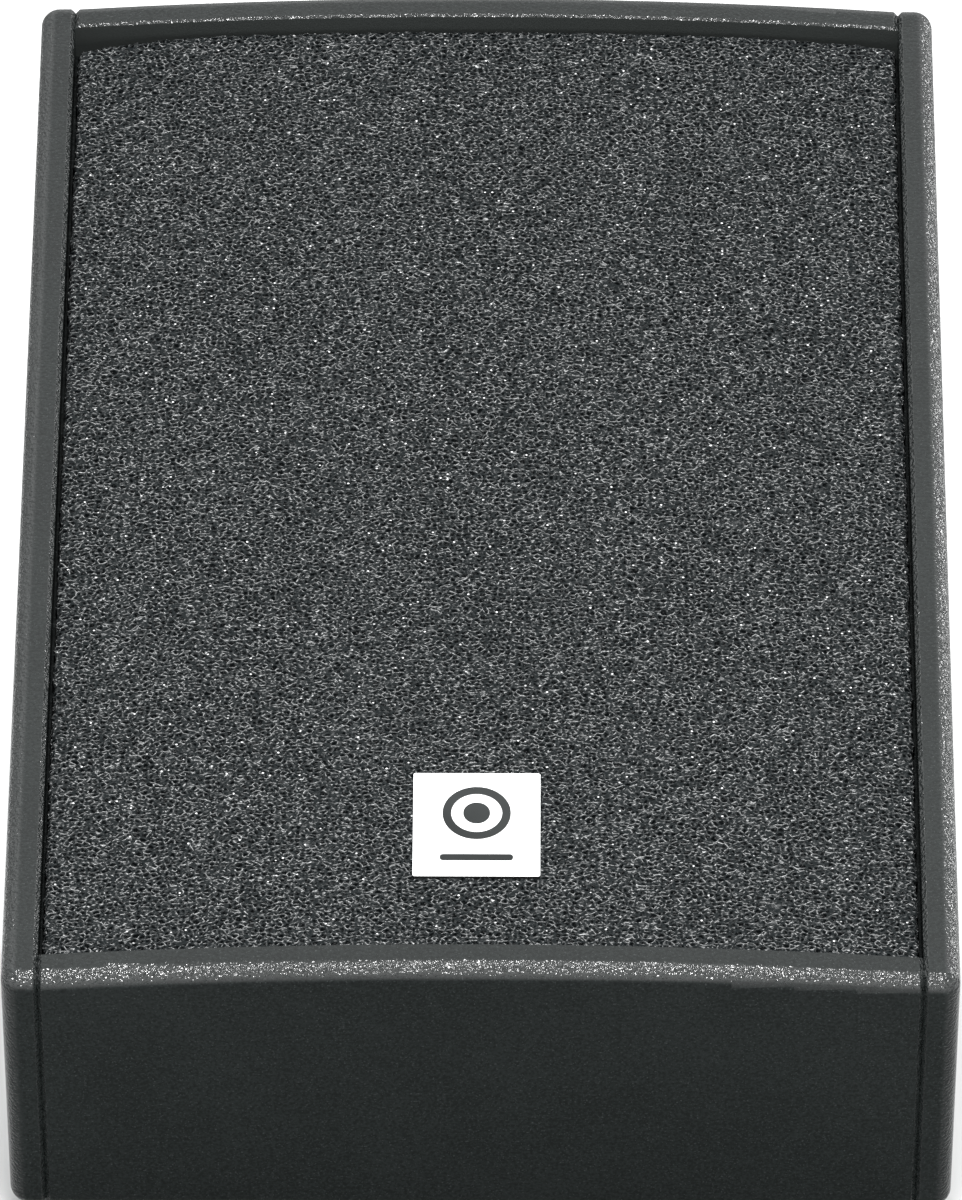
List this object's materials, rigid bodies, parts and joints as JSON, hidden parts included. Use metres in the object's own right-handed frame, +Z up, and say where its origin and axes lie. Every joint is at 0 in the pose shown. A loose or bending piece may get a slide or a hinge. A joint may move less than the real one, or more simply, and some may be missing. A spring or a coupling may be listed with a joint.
{
  "type": "stage monitor wedge",
  "caption": "Two-way floor monitor wedge: plywood cabinet with round-edged cheeks, arched foam-covered front, woofer, horn, bass ports, rear handle and recessed speaker sockets.",
  "frame": {"origin": "on the floor under the middle of the cabinet's box", "axes": "+Z up, +Y away from the performer towards the cabinet's upright back, +X to the performer's right; the foam front slopes up and back at 35 degrees"},
  "size_m": [0.39, 0.546, 0.4504],
  "materials": {
    "cabinet_paint": "black water-based texture paint on plywood, satin",
    "inner_wood": "bare birch plywood and pine",
    "baffle_paint": "thin matt black paint on plywood",
    "grille_steel": "black powder coat",
    "grille_foam": "open-cell reticulated acoustic foam, dark grey",
    "badge_white": "white moulded plate",
    "badge_grey": "grey print",
    "cast_black": "black coat on a cast aluminium basket",
    "gasket_rubber": "black closed-cell gasket",
    "surround_cloth": "doped cloth half-roll",
    "cone_paper": "black paper pulp",
    "former_polyimide": "amber polyimide film",
    "copper_wire": "enamelled copper and bronze-coloured foil",
    "spider_cloth": "phenolic-treated cotton",
    "bright_steel": "zinc plated steel",
    "ferrite": "sintered ferrite",
    "black_plastic": "black moulded ABS",
    "black_screw": "black zinc plated steel",
    "board_green": "green fibreglass board",
    "capacitor_film": "yellow film capacitors",
    "resistor_ceramic": "white ceramic resistors",
    "wire_jacket": "red insulated leads",
    "foot_rubber": "black rubber",
    "wadding": "white polyester wadding"
  },
  "bodies": {
    "cabinet": {"cheek_left": "cabinet_paint", "cheek_right": "cabinet_paint", "front_panel": "cabinet_paint", "top_panel": "cabinet_paint", "bottom_panel": "cabinet_paint", "rear_panel": "cabinet_paint", "baffle": "baffle_paint", "brace": "inner_wood", "baffle_cleats": "inner_wood", "grille_battens": "baffle_paint", "grille_steel": "grille_steel", "grille_foam": "grille_foam", "grille_screws": "black_screw", "badge_plate": "badge_white", "badge_emblem": "badge_grey", "woofer_basket": "cast_black", "woofer_gasket": "gasket_rubber", "woofer_surround": "surround_cloth", "woofer_spider": "spider_cloth", "woofer_top_plate": "bright_steel", "woofer_magnet": "ferrite", "woofer_yoke": "bright_steel", "woofer_terminals": "black_plastic", "woofer_screws": "black_screw", "horn": "black_plastic", "horn_screws": "black_screw", "hf_yoke": "bright_steel", "hf_magnet": "ferrite", "hf_top_plate": "bright_steel", "hf_phase_plug": "black_plastic", "hf_surround": "former_polyimide", "hf_rear_cover": "black_plastic", "hf_terminals": "bright_steel", "hf_bolts": "black_screw", "port_tubes": "black_plastic", "crossover_board": "board_green", "crossover_inductors": "copper_wire", "crossover_capacitors": "capacitor_film", "crossover_resistors": "resistor_ceramic", "crossover_standoffs": "black_plastic", "crossover_screws": "bright_steel", "wiring": "wire_jacket", "connector_dish": "black_plastic", "speaker_sockets": "black_plastic", "socket_contacts": "bright_steel", "socket_screws": "black_screw", "dish_screws": "black_screw", "handle_cup": "black_plastic", "handle_bar": "black_screw", "handle_grip": "foot_rubber", "handle_screws": "black_screw", "damping_pads": "wadding", "rubber_feet": "foot_rubber", "feet_screws": "bright_steel"},
    "woofer_motion": {"woofer_cone": "cone_paper", "woofer_dust_cap": "cone_paper", "woofer_coil_former": "former_polyimide", "woofer_voice_coil": "copper_wire"},
    "tweeter_motion": {"hf_diaphragm": "copper_wire", "hf_voice_coil": "copper_wire"}
  },
  "joints": [
    {"name": "woofer_travel", "type": "slide", "parent": "cabinet", "child": "woofer_motion", "axis": [0, -0.5736, 0.8192], "range_m": [-0.004, 0.004], "stiffness_N_per_m": 4400, "deforming": ["woofer_surround", "woofer_spider"]},
    {"name": "tweeter_travel", "type": "slide", "parent": "cabinet", "child": "tweeter_motion", "axis": [0, -0.5736, 0.8192], "range_m": [-0.0003, 0.0003], "stiffness_N_per_m": 3000, "deforming": ["hf_surround"]}
  ]
}
